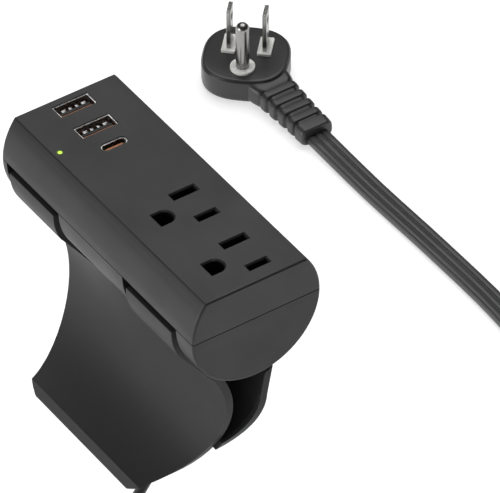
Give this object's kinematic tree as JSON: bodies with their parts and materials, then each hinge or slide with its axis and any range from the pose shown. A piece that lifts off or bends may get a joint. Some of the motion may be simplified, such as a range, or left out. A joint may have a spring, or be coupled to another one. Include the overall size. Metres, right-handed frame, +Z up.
{
  "type": "desk power strip",
  "caption": "Clip-on desk power strip: a D-section bar of outlets and USB sockets in a sprung two-jaw clip, with a flat cord and low-profile plug.",
  "frame": {"origin": "between the two jaws, on the face of the front jaw's pad, midway along the clip: the place where the clip grips a board", "axes": "+X along the housing, towards its outlet end; -Y out of the front jaw; +Z up, out of the flat socket face"},
  "size_m": [0.3226, 0.3284, 0.1646],
  "materials": {
    "housing_black": "fine satin moulded",
    "jaw_black": "fine matte moulded",
    "socket_insulator": "matte",
    "contact_brass": "stamped",
    "circuit_board": "solder mask",
    "port_steel": "drawn",
    "tongue_orange": "moulded",
    "tongue_copper": "plated",
    "led_lens": "clear moulded",
    "winding": "taped",
    "capacitor_sleeve": "shrink sleeve",
    "varistor_coat": "dipped",
    "screw_steel": "zinc plated",
    "spring_steel": "drawn wire",
    "pad_rubber": "matte ribbed",
    "cord_vinyl": "satin ribbed",
    "tie_strap": "hook and loop",
    "plug_vinyl": "satin moulded",
    "pin_nickel": "nickel plated",
    "insulator_white": "moulded"
  },
  "bodies": {
    "strip": {"top_cover": "housing_black", "bottom_shell": "housing_black", "front_jaw": "jaw_black", "outlet_block_1": "socket_insulator", "outlet_block_2": "socket_insulator", "live_bar": "contact_brass", "neutral_bar": "contact_brass", "ground_bar": "contact_brass", "usb_board": "circuit_board", "usb_a_port_1": "port_steel", "usb_a_port_2": "port_steel", "usb_c_port": "port_steel", "usb_a_tongue_1": "tongue_orange", "usb_a_tongue_2": "tongue_orange", "usb_c_tongue": "tongue_copper", "led_pipe": "led_lens", "transformer": "winding", "capacitor": "capacitor_sleeve", "varistor": "varistor_coat", "housing_screws": "screw_steel", "clip_screws": "screw_steel", "hinge_pin": "screw_steel", "spring_left": "spring_steel", "spring_right": "spring_steel", "front_pad": "pad_rubber", "cord_lead": "cord_vinyl", "cord_coil": "cord_vinyl", "cord_run": "cord_vinyl", "cord_gland": "cord_vinyl", "cord_tie": "tie_strap", "plug_body": "plug_vinyl", "plug_relief": "plug_vinyl", "plug_blades": "pin_nickel", "plug_ground_pin": "pin_nickel", "plug_insulators": "insulator_white"},
    "rear_clamp": {"rear_jaw": "jaw_black", "rear_pad": "pad_rubber"}
  },
  "joints": [
    {"name": "rear_jaw_hinge", "type": "hinge", "parent": "strip", "child": "rear_clamp", "pos_m": [0, 0.009, 0.014], "axis": [1, 0, 0], "range_deg": [0, 30], "stiffness_Nm_per_rad": 0.6, "springref_deg": -20.05}
  ]
}
